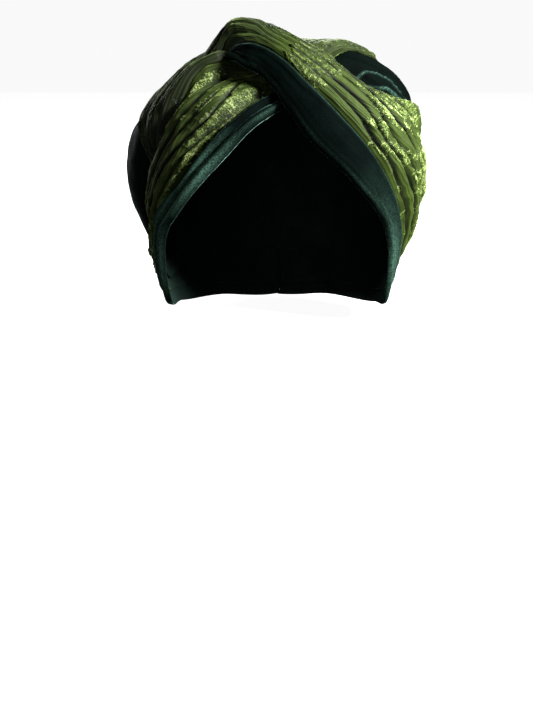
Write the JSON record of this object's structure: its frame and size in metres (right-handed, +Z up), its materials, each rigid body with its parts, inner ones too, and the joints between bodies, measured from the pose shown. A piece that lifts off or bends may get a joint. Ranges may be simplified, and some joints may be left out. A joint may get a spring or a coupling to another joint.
{
  "type": "turban headwrap",
  "caption": "Velvet turban headwrap: pleated two-tone bands with plain borders cross in a twist at the front over a gathered cap, open below.",
  "frame": {"origin": "the point inside the crown where the top of the wearer's head sits", "axes": "+Z up out of the crown, -Y the way the wearer faces, +X to the right as seen from in front"},
  "size_m": [0.1942, 0.196, 0.1975],
  "materials": {
    "cap_velvet": "soft plain velvet, bottle green, nearly black in shade with a teal sheen at the folds",
    "pleated_velvet": "crushed lime green velvet in ragged patches on a flat ribbed mid-green ground",
    "border_velvet": "plain bottle green velvet with a teal sheen along its turned edges"
  },
  "bodies": {
    "root": {"crown_cap": "cap_velvet", "left_band_pleats": "pleated_velvet", "right_band_pleats": "pleated_velvet", "left_band_border": "border_velvet", "right_band_border": "border_velvet"}
  },
  "joints": []
}
